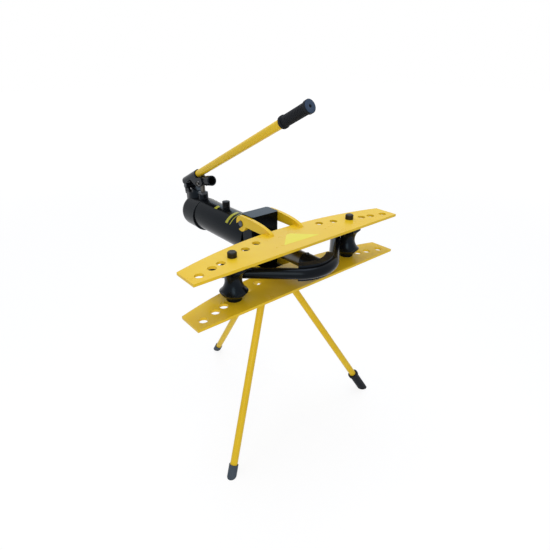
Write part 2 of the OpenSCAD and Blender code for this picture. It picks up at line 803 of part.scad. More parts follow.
module cheek_side() {
    difference() {
        polygon([[-cheek_rear, cheek_top], [-socket_mouth, cheek_brow], [-cross_y, cheek_dip],
            [-cheek_front, 0], [-cheek_front, -2 * spare_low], [-spare_rear, -cheek_low],
            [-spare_rear + cheek_low, -cheek_low], [-cheek_rear - cheek_low / 2, 0]]);
        rotate(cross_dip) {
            translate([-cross_reach - slot_out, 0]) circle(slot_r);
            translate([-cross_reach + slot_in, 0]) circle(slot_r);
            translate([-cross_reach - slot_out, -slot_r]) square([slot_in + slot_out, 2 * slot_r]);
        }
    }
}

module lever() color(black) place() at_lever() difference() {
    union() {
        translate([-boss_half, 0, 0]) to_right() cylinder(2 * boss_half, r = ear_r);
        side(2 * boss_half)
            polygon([[ear_r, 0], [ear_r, socket_lift], [-cheek_rear, socket_lift], [-ear_r, 0]]);
        at_socket(-socket_rear) cylinder(socket_rear + socket_mouth, r = socket_r);
        at_screw() cylinder(socket_r + screw_boss_h, r = screw_boss_r);
        for (s = [-1, 1]) translate([s * (cheek_gap + cheek_t / 2), 0, 0]) side(cheek_t) cheek_side();
        at_spare() cylinder(spare_l, r = socket_r);
        at_spare() translate([0, 0, spare_l - spare_collar_w]) cylinder(spare_collar_w, r = spare_collar_r);
    }
    translate([-boss_half - over, 0, 0]) to_right() cylinder(2 * (boss_half + over), r = fulcrum_r + run_fit);
    at_socket(socket_mouth - socket_deep) cylinder(socket_deep + over, r = handle_r + fix_fit);
    at_screw() cylinder(socket_r + screw_boss_h + over, r = screw_d / 2 + fix_fit);
    at_spare() translate([0, 0, spare_l - spare_deep]) cylinder(spare_deep + over, r = handle_r + pass_gap);
}

module handle_tube() color(yellow) place() at_lever() at_socket(socket_mouth - socket_deep)
    ring(socket_deep + handle_out - grip_end, handle_r, handle_r - handle_wall);

module handle_grip() color(rubber) place() at_lever() at_socket(socket_mouth + handle_out - grip_l) {
    ribbed = grip_l - 2 * grip_collar_w;
    pitch = ribbed / grip_ribs;
    difference() {
        union() {
            cylinder(grip_l, r = grip_d / 2);
            cylinder(grip_collar_w, r = grip_collar_d / 2);
            translate([0, 0, grip_l - grip_collar_w]) cylinder(grip_collar_w, r = grip_collar_d / 2);
        }
        translate([0, 0, -over]) cylinder(grip_l - grip_end + over, r = handle_r + fix_fit);
        translate([0, 0, grip_l - grip_end - over]) cylinder(grip_end + 2 * over, r = grip_hole_d / 2);
        for (i = [0 : grip_ribs - 1]) translate([0, 0, grip_collar_w + i * pitch])
            ring(pitch * grip_groove_share, grip_d / 2 + over, grip_d / 2 - grip_groove);
    }
}

module lock_screw() color(steel) place() at_lever() at_screw() {
    translate([0, 0, socket_r + screw_boss_h]) hexagon(screw_hex_t, screw_hex_r);
    translate([0, 0, handle_r + fix_fit])
        cylinder(socket_r + screw_boss_h - handle_r - fix_fit + over, r = screw_d / 2);
}

// Ram

module ram_rod() color(steel) place() difference() {
    union() {
        along_ram(boss_y) cylinder(piston_y - boss_y, r = rod_r);
        along_ram(boss_y - nose_l) cylinder(nose_l + over, r = nose_r);
        along_ram(piston_y - over) cylinder(tail_l + over, r = tail_d / 2);
    }
    pin_shape(fix_fit);
}

module piston() color(steel) place() along_ram(piston_y) difference() {
    cylinder(piston_l, r = bore_r - run_fit);
    translate([0, 0, -over]) cylinder(tail_l + fix_fit + over, r = tail_d / 2 + fix_fit);
    translate([0, 0, (piston_l - seal_groove_w) / 2]) ring(seal_groove_w, bore_r + over, bore_r - seal_groove);
}

module piston_seal() color(rubber) place() along_ram(piston_y + (piston_l - seal_groove_w) / 2)
    ring(seal_groove_w, bore_r - run_fit, bore_r - seal_groove + fix_fit);

// Points round the wire of the return spring, one ring of points for each step along the coil.
spring_r = (bore_r + rod_r) / 2;
spring_sides = 6;
spring_steps = 24;
spring_start = bush_end + spring_wire_r + spring_play;
spring_len = piston_y - bush_end - 2 * (spring_wire_r + spring_play);
function coil(t) = [spring_r * cos(360 * t), spring_r * sin(360 * t), spring_len * t / spring_turns];
function wire_point(t, a) = coil(t) + spring_wire_r * [cos(a) * cos(360 * t), cos(a) * sin(360 * t), sin(a)];
spring_count = spring_turns * spring_steps;
echo(least_gap_between_turns = min([for (i = [0 : spring_count - spring_steps])
    norm(coil((i + spring_steps) / spring_steps) - coil(i / spring_steps)) - 2 * spring_wire_r]));

module return_spring() color(steel) place() along_ram(spring_start) {
    n = spring_sides;
    last = spring_count * n;
    points = [for (i = [0 : spring_count], j = [0 : n - 1]) wire_point(i / spring_steps, 360 * j / n)];
    sides = [for (i = [0 : spring_count - 1], j = [0 : n - 1])
        [i * n + j, (i + 1) * n + j, (i + 1) * n + (j + 1) % n, i * n + (j + 1) % n]];
    ends = [[for (j = [0 : n - 1]) j], [for (j = [0 : n - 1]) last + n - 1 - j]];
    polyhedron(points, concat(sides, ends));
}

// Former and pipe

// Pipe's outside or bore: the bend, a hair wider than the pipe, and its two arms.
module pipe_shape(r, more) translate([0, bend_y, axis_z]) {
    rotate(-90 - bend_half) rotate_extrude(angle = 2 * bend_half) translate([bend_r, 0]) circle(r + bend_swell);
    for (s = [-1, 1]) rotate(s * bend_half) translate([-s * over, -bend_r, 0]) rotate([0, s * 90, 0])
        cylinder(arm_l + more, r = r);
}

module pipe() color(dark) place() difference() {
    pipe_shape(pipe_r, 0);
    pipe_shape(pipe_r - pipe_wall, over);
}

module pin_shape(gap) translate([0, former_pin_y, axis_z - former_boss_r - former_pin_out])
    cylinder(2 * (former_boss_r + former_pin_out), r = former_pin_d / 2 + gap);

module former() color(black) place() difference() {
    union() {
        translate([0, bend_y, axis_z - former_h / 2]) linear_extrude(former_h) intersection() {
            difference() {
                circle(former_rim);
                circle(former_in_r);
            }
            polygon([[0, 0], [-bend_r * tan(bend_half), -bend_r], [bend_r * tan(bend_half), -bend_r]]);
        }
        along_ram(bend_y - former_in_r - over) cylinder(former_in_r + over - former_boss_y, r = former_boss_r);
    }
    translate([0, bend_y, axis_z]) rotate_extrude() translate([bend_r, 0]) circle(groove_r);
    along_ram(boss_y - nose_l) cylinder(nose_l + over, r = nose_r + fix_fit);
    pin_shape(fix_fit);
}

module former_pin() color(steel) place() pin_shape(0);

// Wing pins and shoes

module shoe() translate([pin_x, pin_y, 0]) difference() {
    intersection() {
        translate([0, 0, axis_z]) rotate_extrude() difference() {
            union() {
                translate([0, lower_top - axis_z]) square([shoe_boss_r, plate_gap - shoe_play]);
                polygon([[0, -shoe_half_h], [shoe_r - shoe_slope, -shoe_half_h],
                    [shoe_r, -shoe_half_h + shoe_slope_h], [shoe_r, shoe_half_h - shoe_slope_h],
                    [shoe_r - shoe_slope, shoe_half_h], [0, shoe_half_h]]);
            }
            translate([shoe_waist_r + shoe_hollow_r, 0]) circle(shoe_hollow_r);
        }
        translate([-shoe_flats / 2, -shoe_flats / 2, lower_top]) cube([shoe_flats, shoe_flats, plate_gap]);
    }
    translate([0, 0, lower_top - over]) cylinder(plate_gap + 2 * over, r = pin_d / 2 + run_fit);
}

module right_shoe() color(black) place() shoe();

module left_shoe() color(black) place() mirror([1, 0, 0]) shoe();

module wing_pin() translate([pin_x, pin_y, 0]) rotate_extrude() polygon([[0, plate_level],
    [pin_d / 2 - pin_chamfer, plate_level], [pin_d / 2, plate_level + pin_chamfer], [pin_d / 2, upper_top],
    [pin_head_r, upper_top], [pin_head_r, upper_top + pin_head_h - pin_chamfer],
    [pin_head_r - pin_chamfer, upper_top + pin_head_h], [0, upper_top + pin_head_h]]);

module right_pin() color(dark) place() wing_pin();

module left_pin() color(dark) place() mirror([1, 0, 0]) wing_pin();

// Tripod

function leg_lean(foot_ring) = atan((foot_ring - socket_ring) / disc_low);
function leg_length(foot_ring) = disc_low / cos(leg_lean(foot_ring));
right_turn = leg_swing - 90;
left_turn = -90 - leg_swing;
rear_turn = 90;

// Lays an upright piece along a leg, down from the underside of the tripod's head.
module at_leg(turn, foot_ring) translate([0, disc_y, disc_low]) rotate(turn) translate([socket_ring, 0, 0])
    rotate([0, 180 - leg_lean(foot_ring), 0]) children();

module leg_socket(turn, foot_ring) intersection() {
    at_leg(turn, foot_ring) translate([0, 0, -leg_socket_d])
        cylinder(leg_socket_d + leg_socket_l, r = leg_socket_d / 2);
    translate([-plate_l, -plate_l, 0]) cube([2 * plate_l, 2 * plate_l, disc_low]);
}

module socket_bore(turn, foot_ring) at_leg(turn, foot_ring) translate([0, 0, leg_seat])
    cylinder(leg_socket_l, r = leg_r + fix_fit);

module tripod_head() color(black) place() difference() {
    union() {
        translate([0, disc_y, disc_low]) cylinder(disc_t, r = disc_r);
        leg_socket(right_turn, front_ring);
        leg_socket(left_turn, front_ring);
        leg_socket(rear_turn, rear_ring);
    }
    socket_bore(right_turn, front_ring);
    socket_bore(left_turn, front_ring);
    socket_bore(rear_turn, rear_ring);
    for (s = [-1, 1]) translate([s * bolt_x, bolt_y, disc_low - over])
        cylinder(disc_t + 2 * over, r = bolt_d / 2 + fix_fit);
}

module tripod_bolts() color(steel) place() {
    for (s = [-1, 1]) translate([s * bolt_x, bolt_y, disc_low]) {
        translate([0, 0, -bolt_hex_t]) cylinder(bolt_hex_t + disc_t + bolt_sink, r = bolt_d / 2);
        translate([0, 0, -bolt_hex_t]) hexagon(bolt_hex_t, bolt_hex_r);
    }
}

module leg(turn, foot_ring) at_leg(turn, foot_ring) translate([0, 0, leg_seat])
    ring(leg_length(foot_ring) - leg_seat - foot_sole, leg_r, leg_r - leg_wall);

module right_leg() color(yellow) place() leg(right_turn, front_ring);

module left_leg() color(yellow) place() leg(left_turn, front_ring);

module rear_leg() color(yellow) place() leg(rear_turn, rear_ring);

// Foot with a flat sole on the floor, open at the top for its leg.
module foot(turn, foot_ring, d, l, collar_d, collar_w) difference() {
    at_leg(turn, foot_ring) translate([0, 0, leg_length(foot_ring) - l]) difference() {
        union() {
            cylinder(l + d, r = d / 2);
            cylinder(collar_w, r = collar_d / 2);
        }
        translate([0, 0, -over]) cylinder(l - foot_sole + over, r = leg_r + fix_fit);
    }
    translate([-plate_l, -plate_l, -plate_l]) cube([2 * plate_l, 2 * plate_l, plate_l]);
}

module right_foot() color(rubber) place()
    foot(right_turn, front_ring, sleeve_d, sleeve_l, sleeve_collar_d, sleeve_collar_w);

module left_foot() color(rubber) place() foot(left_turn, front_ring, foot_d, foot_l, foot_d, foot_l);

module rear_foot() color(rubber) place() foot(rear_turn, rear_ring, foot_d, foot_l, foot_d, foot_l);

upper_plate();
lower_plate();
upper_lugs();
lower_lugs();
head_block();
hook_studs();
gland_bush();
gland_nut();
rod_wiper();
reservoir_tube();
pressure_tube();
tube_gaskets();
pump_body();
plunger_gland();
plunger_seal();
plunger();
cross_pin();
lever();
fulcrum_pin();
handle_tube();
handle_grip();
lock_screw();
release_stem();
release_knob();
filler_plug();
check_balls();
valve_plugs();
ram_rod();
piston();
piston_seal();
return_spring();
former();
former_pin();
pipe();
left_shoe();
right_shoe();
left_pin();
right_pin();
tripod_head();
tripod_bolts();
left_leg();
right_leg();
rear_leg();
left_foot();
right_foot();
rear_foot();
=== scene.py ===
import json
import math

import bpy
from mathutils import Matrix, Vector


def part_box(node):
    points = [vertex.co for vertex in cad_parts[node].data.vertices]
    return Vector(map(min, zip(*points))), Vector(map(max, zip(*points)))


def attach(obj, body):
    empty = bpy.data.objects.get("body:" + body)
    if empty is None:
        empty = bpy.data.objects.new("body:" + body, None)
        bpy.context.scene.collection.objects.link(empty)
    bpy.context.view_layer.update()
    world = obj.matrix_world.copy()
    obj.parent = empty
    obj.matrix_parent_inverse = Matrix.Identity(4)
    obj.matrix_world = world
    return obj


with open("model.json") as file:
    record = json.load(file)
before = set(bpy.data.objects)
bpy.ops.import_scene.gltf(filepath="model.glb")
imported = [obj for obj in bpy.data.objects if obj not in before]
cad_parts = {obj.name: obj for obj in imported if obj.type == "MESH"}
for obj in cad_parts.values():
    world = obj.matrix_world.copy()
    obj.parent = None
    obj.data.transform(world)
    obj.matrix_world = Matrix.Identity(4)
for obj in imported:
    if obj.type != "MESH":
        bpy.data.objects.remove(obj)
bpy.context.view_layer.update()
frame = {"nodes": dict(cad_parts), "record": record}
nodes = frame["nodes"]
scene = bpy.context.scene

WHITE = (1, 1, 1, 1)


def linear(code):
    """An sRGB hex colour as linear RGBA."""
    parts = [int(code[i:i + 2], 16) / 255 for i in (1, 3, 5)]
    return [c / 12.92 if c <= 0.04045 else ((c + 0.055) / 1.055) ** 2.4 for c in parts] + [1.0]


def toned(code, factor):
    """A hex colour made paler or darker by a factor, as linear RGBA."""
    return [min(1.0, c * factor) for c in linear(code)[:3]] + [1.0]


def per_m(mm):
    """Texture scale for a pattern whose features are this many millimetres apart."""
    return 1000 / mm


def add(tree, kind, inputs=None, **settings):
    """Adds a node with its settings; an input is a value or the socket that feeds it."""
    made = tree.nodes.new(kind)
    for name, value in settings.items():
        setattr(made, name, value)
    for name, value in (inputs or {}).items():
        if isinstance(value, bpy.types.NodeSocket):
            tree.links.new(value, made.inputs[name])
        else:
            made.inputs[name].default_value = value
    return made


def blank_material(name):
    """An empty material, its node tree and its Object coordinates."""
    material = bpy.data.materials.new(name)
    material.use_nodes = True
    tree = material.node_tree
    tree.nodes.clear()
    return material, tree, add(tree, "ShaderNodeTexCoord").outputs["Object"]


def softened_edges(tree, radius):
    """Normals rounded over along edges, and a mask that is 1 on an edge and 0 on open faces."""
    rounded = add(tree, "ShaderNodeBevel", {"Radius": radius}, samples=4).outputs[0]
    flat = add(tree, "ShaderNodeNewGeometry").outputs["Normal"]
    # Cosines of the angle between both normals at which the mask starts and is full.
    mask_start = 0.85
    mask_full = 0.55
    match = add(tree, "ShaderNodeVectorMath", {0: rounded, 1: flat}, operation="DOT_PRODUCT")
    mask = add(tree, "ShaderNodeMapRange", {
        "Value": match.outputs["Value"], "From Min": mask_start, "From Max": mask_full})
    return rounded, mask.outputs[0]


def worn(tree, at, tint, mask, bare, spot_mm, amount):
    """Rubs the tint through to a bare colour in spots along the edges."""
    spots = add(tree, "ShaderNodeTexNoise", {"Vector": at, "Scale": per_m(spot_mm), "Detail": 3.0})
    gaps = add(tree, "ShaderNodeMapRange", {
        "Value": spots.outputs["Fac"], "From Min": 0.5, "From Max": 0.65, "To Max": amount})
    share = add(tree, "ShaderNodeMath", {0: gaps.outputs[0], 1: mask}, operation="MULTIPLY")
    mixed = add(tree, "ShaderNodeMix", {
        "Factor": share.outputs[0], "A": tint, "B": linear(bare)}, data_type="RGBA")
    return mixed.outputs["Result"]


# Sprayed enamel: a smooth gloss film with faint orange peel, a little paler and duller in broad patches,
# drawn thin over sharp edges and rubbed through there in spots.
def sprayed_enamel(name, colour, patch, bare, roughness, peel, specular, sky_reflection_tint):
    edge_radius = 0.0009
    smoothest = roughness * 0.8
    dullest = roughness * 1.3
    patch_mm = 70
    spot_mm = 14
    spot_strength = 0.55
    # Orange peel is really 1 to 2 mm; it is drawn at 10 mm so that it shows at this distance.
    peel_mm = 10
    peel_depth = 0.001
    material, tree, at = blank_material(name)
    rounded, edge = softened_edges(tree, edge_radius)
    patches = add(tree, "ShaderNodeTexNoise", {
        "Vector": at, "Scale": per_m(patch_mm), "Detail": 4.0, "Roughness": 0.6}).outputs["Fac"]
    spread = add(tree, "ShaderNodeMapRange", {"Value": patches, "From Min": 0.35, "From Max": 0.7})
    tint = add(tree, "ShaderNodeMix", {
        "Factor": spread.outputs[0], "A": linear(colour), "B": linear(patch)}, data_type="RGBA")
    rubbed = worn(tree, at, tint.outputs["Result"], edge, bare, spot_mm, spot_strength)
    dull = add(tree, "ShaderNodeMapRange", {
        "Value": patches, "To Min": smoothest, "To Max": dullest})
    film = add(tree, "ShaderNodeTexNoise", {"Vector": at, "Scale": per_m(peel_mm), "Detail": 1.0})
    bump = add(tree, "ShaderNodeBump", {
        "Height": film.outputs["Fac"], "Strength": peel, "Distance": peel_depth, "Normal": rounded})
    # Specular Tint carries a painted sky reflection: a blue tint makes the gloss look blue under white light.
    shader = add(tree, "ShaderNodeBsdfPrincipled", {
        "Base Color": rubbed, "Roughness": dull.outputs[0], "Normal": bump.outputs[0], "IOR": 1.5,
        "Specular IOR Level": specular, "Specular Tint": linear(sky_reflection_tint)})
    add(tree, "ShaderNodeOutputMaterial", {"Surface": shader.outputs[0]})
    return material


# Sand-cast iron under black enamel: the film follows a pebbled skin, so highlights break up.
def enamelled_casting(name, colour, patch, bare, roughness, specular, sky_reflection_tint):
    edge_radius = 0.002
    smoothest = roughness * 0.7
    dullest = roughness * 1.4
    patch_mm = 35
    spot_mm = 9
    spot_strength = 0.6
    # Sand grains a little over 2 mm across.
    grain_mm = 2.5
    grain_strength = 0.25
    grain_depth = 0.0006
    material, tree, at = blank_material(name)
    rounded, edge = softened_edges(tree, edge_radius)
    patches = add(tree, "ShaderNodeTexNoise", {
        "Vector": at, "Scale": per_m(patch_mm), "Detail": 5.0, "Roughness": 0.65}).outputs["Fac"]
    tint = add(tree, "ShaderNodeMix", {
        "Factor": patches, "A": linear(colour), "B": linear(patch)}, data_type="RGBA")
    rubbed = worn(tree, at, tint.outputs["Result"], edge, bare, spot_mm, spot_strength)
    dull = add(tree, "ShaderNodeMapRange", {
        "Value": patches, "To Min": smoothest, "To Max": dullest})
    grains = add(tree, "ShaderNodeTexNoise", {
        "Vector": at, "Scale": per_m(grain_mm), "Detail": 3.0, "Roughness": 0.6})
    bump = add(tree, "ShaderNodeBump", {
        "Height": grains.outputs["Fac"], "Strength": grain_strength, "Distance": grain_depth,
        "Normal": rounded})
    # Specular Tint carries a painted sky reflection: a blue tint makes the gloss look blue under white light.
    shader = add(tree, "ShaderNodeBsdfPrincipled", {
        "Base Color": rubbed, "Roughness": dull.outputs[0], "Normal": bump.outputs[0], "IOR": 1.5,
        "Specular IOR Level": specular, "Specular Tint": linear(sky_reflection_tint)})
    add(tree, "ShaderNodeOutputMaterial", {"Surface": shader.outputs[0]})
    return material


# Machined steel: grey metal in slightly uneven tones, with turning marks set along one axis of the machine.
def turned_steel(name, colour, roughness, mark_axis, mark_mm):
    edge_radius = 0.0006
    smoothest = roughness * 0.7
    dullest = roughness * 1.4
    tone_mm = 25
    darkest = 0.75
    mark_strength = 0.15
    mark_depth = 0.0002
    # Across the axis the marks run on, 50 times as long as they are apart.
    drawn_out = [1 if axis == mark_axis else 0.02 for axis in "XYZ"]
    material, tree, at = blank_material(name)
    rounded, _ = softened_edges(tree, edge_radius)
    along = add(tree, "ShaderNodeMapping", {"Vector": at, "Scale": drawn_out})
    marks = add(tree, "ShaderNodeTexNoise", {
        "Vector": along.outputs[0], "Scale": per_m(mark_mm), "Detail": 2.0}).outputs["Fac"]
    tone = add(tree, "ShaderNodeTexNoise", {"Vector": at, "Scale": per_m(tone_mm), "Detail": 3.0})
    tint = add(tree, "ShaderNodeMix", {
        "Factor": tone.outputs["Fac"], "A": linear(colour), "B": toned(colour, darkest)}, data_type="RGBA")
    dull = add(tree, "ShaderNodeMapRange", {
        "Value": marks, "To Min": smoothest, "To Max": dullest})
    bump = add(tree, "ShaderNodeBump", {
        "Height": marks, "Strength": mark_strength, "Distance": mark_depth, "Normal": rounded})
    shader = add(tree, "ShaderNodeBsdfPrincipled", {
        "Base Color": tint.outputs["Result"], "Metallic": 1.0, "Roughness": dull.outputs[0],
        "Normal": bump.outputs[0]})
    add(tree, "ShaderNodeOutputMaterial", {"Surface": shader.outputs[0]})
    return material


# Moulded rubber or plastic: even, nearly matt, scuffed a little paler, with the fine grain of its mould.
def moulded(name, colour, roughness, grain_mm, specular):
    edge_radius = 0.0012
    scuff_mm = 18
    palest = 1.5
    grain_strength = 0.2
    grain_depth = 0.0003
    material, tree, at = blank_material(name)
    rounded, _ = softened_edges(tree, edge_radius)
    scuff = add(tree, "ShaderNodeTexNoise", {"Vector": at, "Scale": per_m(scuff_mm), "Detail": 4.0})
    tint = add(tree, "ShaderNodeMix", {
        "Factor": scuff.outputs["Fac"], "A": linear(colour), "B": toned(colour, palest)}, data_type="RGBA")
    grain = add(tree, "ShaderNodeTexNoise", {"Vector": at, "Scale": per_m(grain_mm), "Detail": 2.0})
    bump = add(tree, "ShaderNodeBump", {
        "Height": grain.outputs["Fac"], "Strength": grain_strength, "Distance": grain_depth,
        "Normal": rounded})
    shader = add(tree, "ShaderNodeBsdfPrincipled", {
        "Base Color": tint.outputs["Result"], "Roughness": roughness, "Normal": bump.outputs[0], "IOR": 1.5,
        "Specular IOR Level": specular})
    add(tree, "ShaderNodeOutputMaterial", {"Surface": shader.outputs[0]})
    return material


# Vinyl film: an even colour, slightly mottled where it lies over the paint below.
def vinyl_film(name, colour, mottled, roughness, specular):
    cloud_mm = 12
    material, tree, at = blank_material(name)
    cloud = add(tree, "ShaderNodeTexNoise", {"Vector": at, "Scale": per_m(cloud_mm), "Detail": 3.0})
    tint = add(tree, "ShaderNodeMix", {
        "Factor": cloud.outputs["Fac"], "A": linear(colour), "B": linear(mottled)}, data_type="RGBA")
    shader = add(tree, "ShaderNodeBsdfPrincipled", {
        "Base Color": tint.outputs["Result"], "Roughness": roughness, "IOR": 1.46,
        "Specular IOR Level": specular})
    add(tree, "ShaderNodeOutputMaterial", {"Surface": shader.outputs[0]})
    return material


# Yellow enamel of plates, lugs, handle and legs: warm and glossy, brownish where an edge is rubbed.
yellow_enamel = sprayed_enamel(
    "yellow_gloss_enamel", colour="#E2BA1C", patch="#E5C128", bare="#8E7A3C",
    roughness=0.28, peel=0.004, specular=0.2, sky_reflection_tint="#FFFFFF")
# Black enamel of reservoir, head block and gland nut: near black, its gloss tinted a cool blue as a painted
# reflection of blue sky.
black_enamel = sprayed_enamel(
    "black_gloss_enamel", colour="#08090B", patch="#0C0D10", bare="#2A2C30",
    roughness=0.2, peel=0.008, specular=0.13, sky_reflection_tint="#A8D0F0")
# The same enamel on cast iron: a touch paler, its gloss tinted blue as a painted sky reflection and broken up
# by the sand's grain.
black_casting = enamelled_casting(
    "black_enamelled_casting", colour="#0B0B0D", patch="#121316", bare="#2C2E32",
    roughness=0.2, specular=0.16, sky_reflection_tint="#B4D6F2")
# Black lacquer on the bent pipe: thin and even, with the sharpest gloss of the blacks, tinted pale blue as a
# painted sky reflection.
black_pipe = sprayed_enamel(
    "black_lacquered_pipe", colour="#0A0B0D", patch="#101114", bare="#303236",
    roughness=0.17, peel=0.008, specular=0.12, sky_reflection_tint="#C8E0F4")
# Ground steel of ram rod and plunger: a warm grey that mirrors softly, far darker than bright steel as
# painted shade for the dark space between the plates that the rod mirrors.
ground_steel_painted_shade = turned_steel("ground_steel_painted_shade", "#5E5C58", roughness=0.3, mark_axis="Y", mark_mm=0.6)
# Zinc plating on studs, pins, plugs and bolts: a cool grey, duller than ground steel.
zinc_steel = turned_steel("zinc_plated_steel", "#585C61", roughness=0.42, mark_axis="X", mark_mm=0.8)
# Oil-blackened steel of the wing pins: a dark brownish grey that still looks like metal.
blackened_steel = turned_steel("oil_blackened_steel", "#35342F", roughness=0.42, mark_axis="Z", mark_mm=0.8)
# Black plastic of filler plug and release knob: a soft, even sheen.
black_plastic = moulded("moulded_black_plastic", "#0E0F12", roughness=0.42, grain_mm=0.9, specular=0.12)
# Black rubber of grip, foot sleeve and seals: matt, with a hint of blue.
black_rubber = moulded("moulded_black_rubber", "#12151A", roughness=0.55, grain_mm=1.2, specular=0.15)
# Rubber of the foot caps: greyed by dust.
grey_rubber = moulded("dusty_foot_rubber", "#3A434C", roughness=0.6, grain_mm=1.2, specular=0.2)
# Blue-grey ring in the grip's end: a painted reflection, lighter where the sky is mirrored on the flat end
# face.
grip_end_reflection = moulded("grip_end_painted_reflection", "#26364B", roughness=0.45, grain_mm=0.9, specular=0.25)
# Films: bright lime on the plate, black on the reservoir, and on the reservoir's strips the lime film
# darkened to a dull olive as painted shade.
lime_vinyl = vinyl_film("lime_vinyl_film", "#E4D73E", "#EADF56", roughness=0.3, specular=0.1)
shaded_lime_vinyl = vinyl_film("lime_film_painted_shade", "#9C9A2C", "#AAA83C", roughness=0.3, specular=0.2)
black_vinyl = vinyl_film("black_vinyl_film", "#0D0E10", "#131416", roughness=0.3, specular=0.1)

# Finish of each CAD node: by its slot in the record, apart from the castings and the dusty foot caps.
FINISHES = {
    "yellow_enamel": yellow_enamel,
    "black_enamel": black_enamel,
    "black_plastic": black_plastic,
    "black_rubber": black_rubber,
    "bright_steel": ground_steel_painted_shade,
    "zinc_steel": zinc_steel,
    "dark_steel": blackened_steel,
    "black_pipe": black_pipe,
}
CASTINGS = ("pump_body", "lever", "former", "left_shoe", "right_shoe", "tripod_head")
FOOT_CAPS = ("left_foot", "rear_foot")


def paint(piece, material):
    """Gives a piece this material and no other."""
    piece.data.materials.clear()
    piece.data.materials.append(material)


for sub in frame["record"]["subparts"]:
    paint(nodes[sub["node"]], FINISHES[sub["material_slot"]])
for casting in CASTINGS:
    paint(nodes[casting], black_casting)
for foot_cap in FOOT_CAPS:
    paint(nodes[foot_cap], grey_rubber)


def start_afresh():
    """Deselects everything, so that the next operators act on the new piece only."""
    bpy.ops.object.select_all(action="DESELECT")


def pick(piece):
    """Selects this piece alone and makes it the active one."""
    start_afresh()
    piece.select_set(True)
    bpy.context.view_layer.objects.active = piece


def into_mesh():
    """Puts place, turn and size of the selected pieces into their meshes."""
    bpy.ops.object.transform_apply(location=True, rotation=True, scale=True)


def edit(action="SELECT"):
    """Opens the active piece in edit mode, with all of its mesh selected or none of it."""
    bpy.ops.object.mode_set(mode="EDIT")
    bpy.ops.mesh.select_all(action=action)


def leave():
    """Goes back to object mode."""
    bpy.ops.object.mode_set(mode="OBJECT")


def edit_only(piece, elements, wanted):
    """Opens the active piece in edit mode, with only its wanted vertices or polygons selected."""
    edit("DESELECT")
    leave()
    for element in getattr(piece.data, elements):
        element.select = wanted(element)
    bpy.ops.object.mode_set(mode="EDIT")


def thicken(depth):
    """Gives the flat mesh in edit mode its thickness, with its faces outwards, and leaves edit mode."""
    bpy.ops.mesh.select_all(action="SELECT")
    bpy.ops.mesh.extrude_region_move(TRANSFORM_OT_translate={"value": (0, 0, depth)})
    bpy.ops.mesh.select_all(action="SELECT")
    bpy.ops.mesh.normals_make_consistent(inside=False)
    leave()


def shape(piece, kind, **settings):
    """Adds a modifier to the active piece and applies it."""
    made = piece.modifiers.new(kind, kind)
    for name, value in settings.items():
        setattr(made, name, value)
    bpy.ops.object.modifier_apply(modifier=made.name)


def smooth_faces():
    """Smooth shading on the selected piece, with its sharp edges kept."""
    bpy.ops.object.shade_smooth_by_angle(angle=math.radians(30))


def settle(piece, name, material, body):
    """Puts the piece's place into its mesh, names it, paints it and lets it ride."""
    pick(piece)
    into_mesh()
    piece.name = name
    paint(piece, material)
    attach(piece, body)


def copied(piece, shift):
    """A copy with its own mesh, moved by a shift that goes into that mesh."""
    pick(piece)
    bpy.ops.object.duplicate(linked=False)
    twin = bpy.context.object
    edit()
    bpy.ops.transform.translate(value=shift)
    leave()
    return twin


def fused(parts, voxel=0.0008, rounds=2):
    """Joins overlapping parts into one closed skin and smooths it."""
    skin = parts[0]
    pick(skin)
    for part in parts[1:]:
        part.select_set(True)
    if len(parts) > 1:
        bpy.ops.object.join()
    into_mesh()
    shape(skin, "REMESH", mode="VOXEL", voxel_size=voxel)
    shape(skin, "SMOOTH", factor=0.5, iterations=rounds)
    bpy.ops.object.shade_smooth()
    return skin


def weld_drop(place, radius, squeeze):
    """One drop of weld metal: a ball flattened along the weld's run."""
    start_afresh()
    bpy.ops.mesh.primitive_uv_sphere_add(segments=14, ring_count=9, radius=radius, location=place)
    drop = bpy.context.object
    edit()
    bpy.ops.transform.resize(value=squeeze, center_override=place)
    leave()
    return drop


# Fillet welds at the feet of the hook lugs: both long sides and round the front tip.
WELD_LEG = 0.0034
RIPPLE = 0.0028
RIPPLE_SQUEEZE = 0.62
TIP_INSET = 0.002
lug_low, lug_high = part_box("upper_lugs")
plate_low, plate_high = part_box("upper_plate")
lower_low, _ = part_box("lower_plate")
block_low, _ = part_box("head_block")
lug_in = -block_low[0]
lug_out = lug_high[0]
weld_front = lug_low[1] + TIP_INSET
side_count = int((plate_high[1] - weld_front - WELD_LEG) / RIPPLE)
tip_count = int((lug_out - lug_in) / RIPPLE) + 1


def ripple_row(first, step, count):
    """A row of weld ripples: one drop, repeated so that each overlaps the last."""
    row = weld_drop(first, WELD_LEG, [RIPPLE_SQUEEZE if run else 1.0 for run in step])
    shape(row, "ARRAY", count=count, use_relative_offset=False, use_constant_offset=True,
          constant_offset_displace=step)
    return row


inner_foot = (lug_in, weld_front, plate_high[2])
outer_foot = (lug_out, weld_front, plate_high[2])
weld = fused([
    ripple_row(inner_foot, (0, RIPPLE, 0), side_count),
    ripple_row(outer_foot, (0, RIPPLE, 0), side_count),
    ripple_row(inner_foot, (RIPPLE, 0, 0), tip_count),
])
to_left = -(lug_in + lug_out)
to_lower = lower_low[2] - plate_high[2]
lug_welds = {
    "right_upper_lug_weld": weld,
    "left_upper_lug_weld": copied(weld, (to_left, 0, 0)),
    "right_lower_lug_weld": copied(weld, (0, 0, to_lower)),
    "left_lower_lug_weld": copied(weld, (to_left, 0, to_lower)),
}
for weld_name, piece in lug_welds.items():
    settle(piece, weld_name, yellow_enamel, "frame")

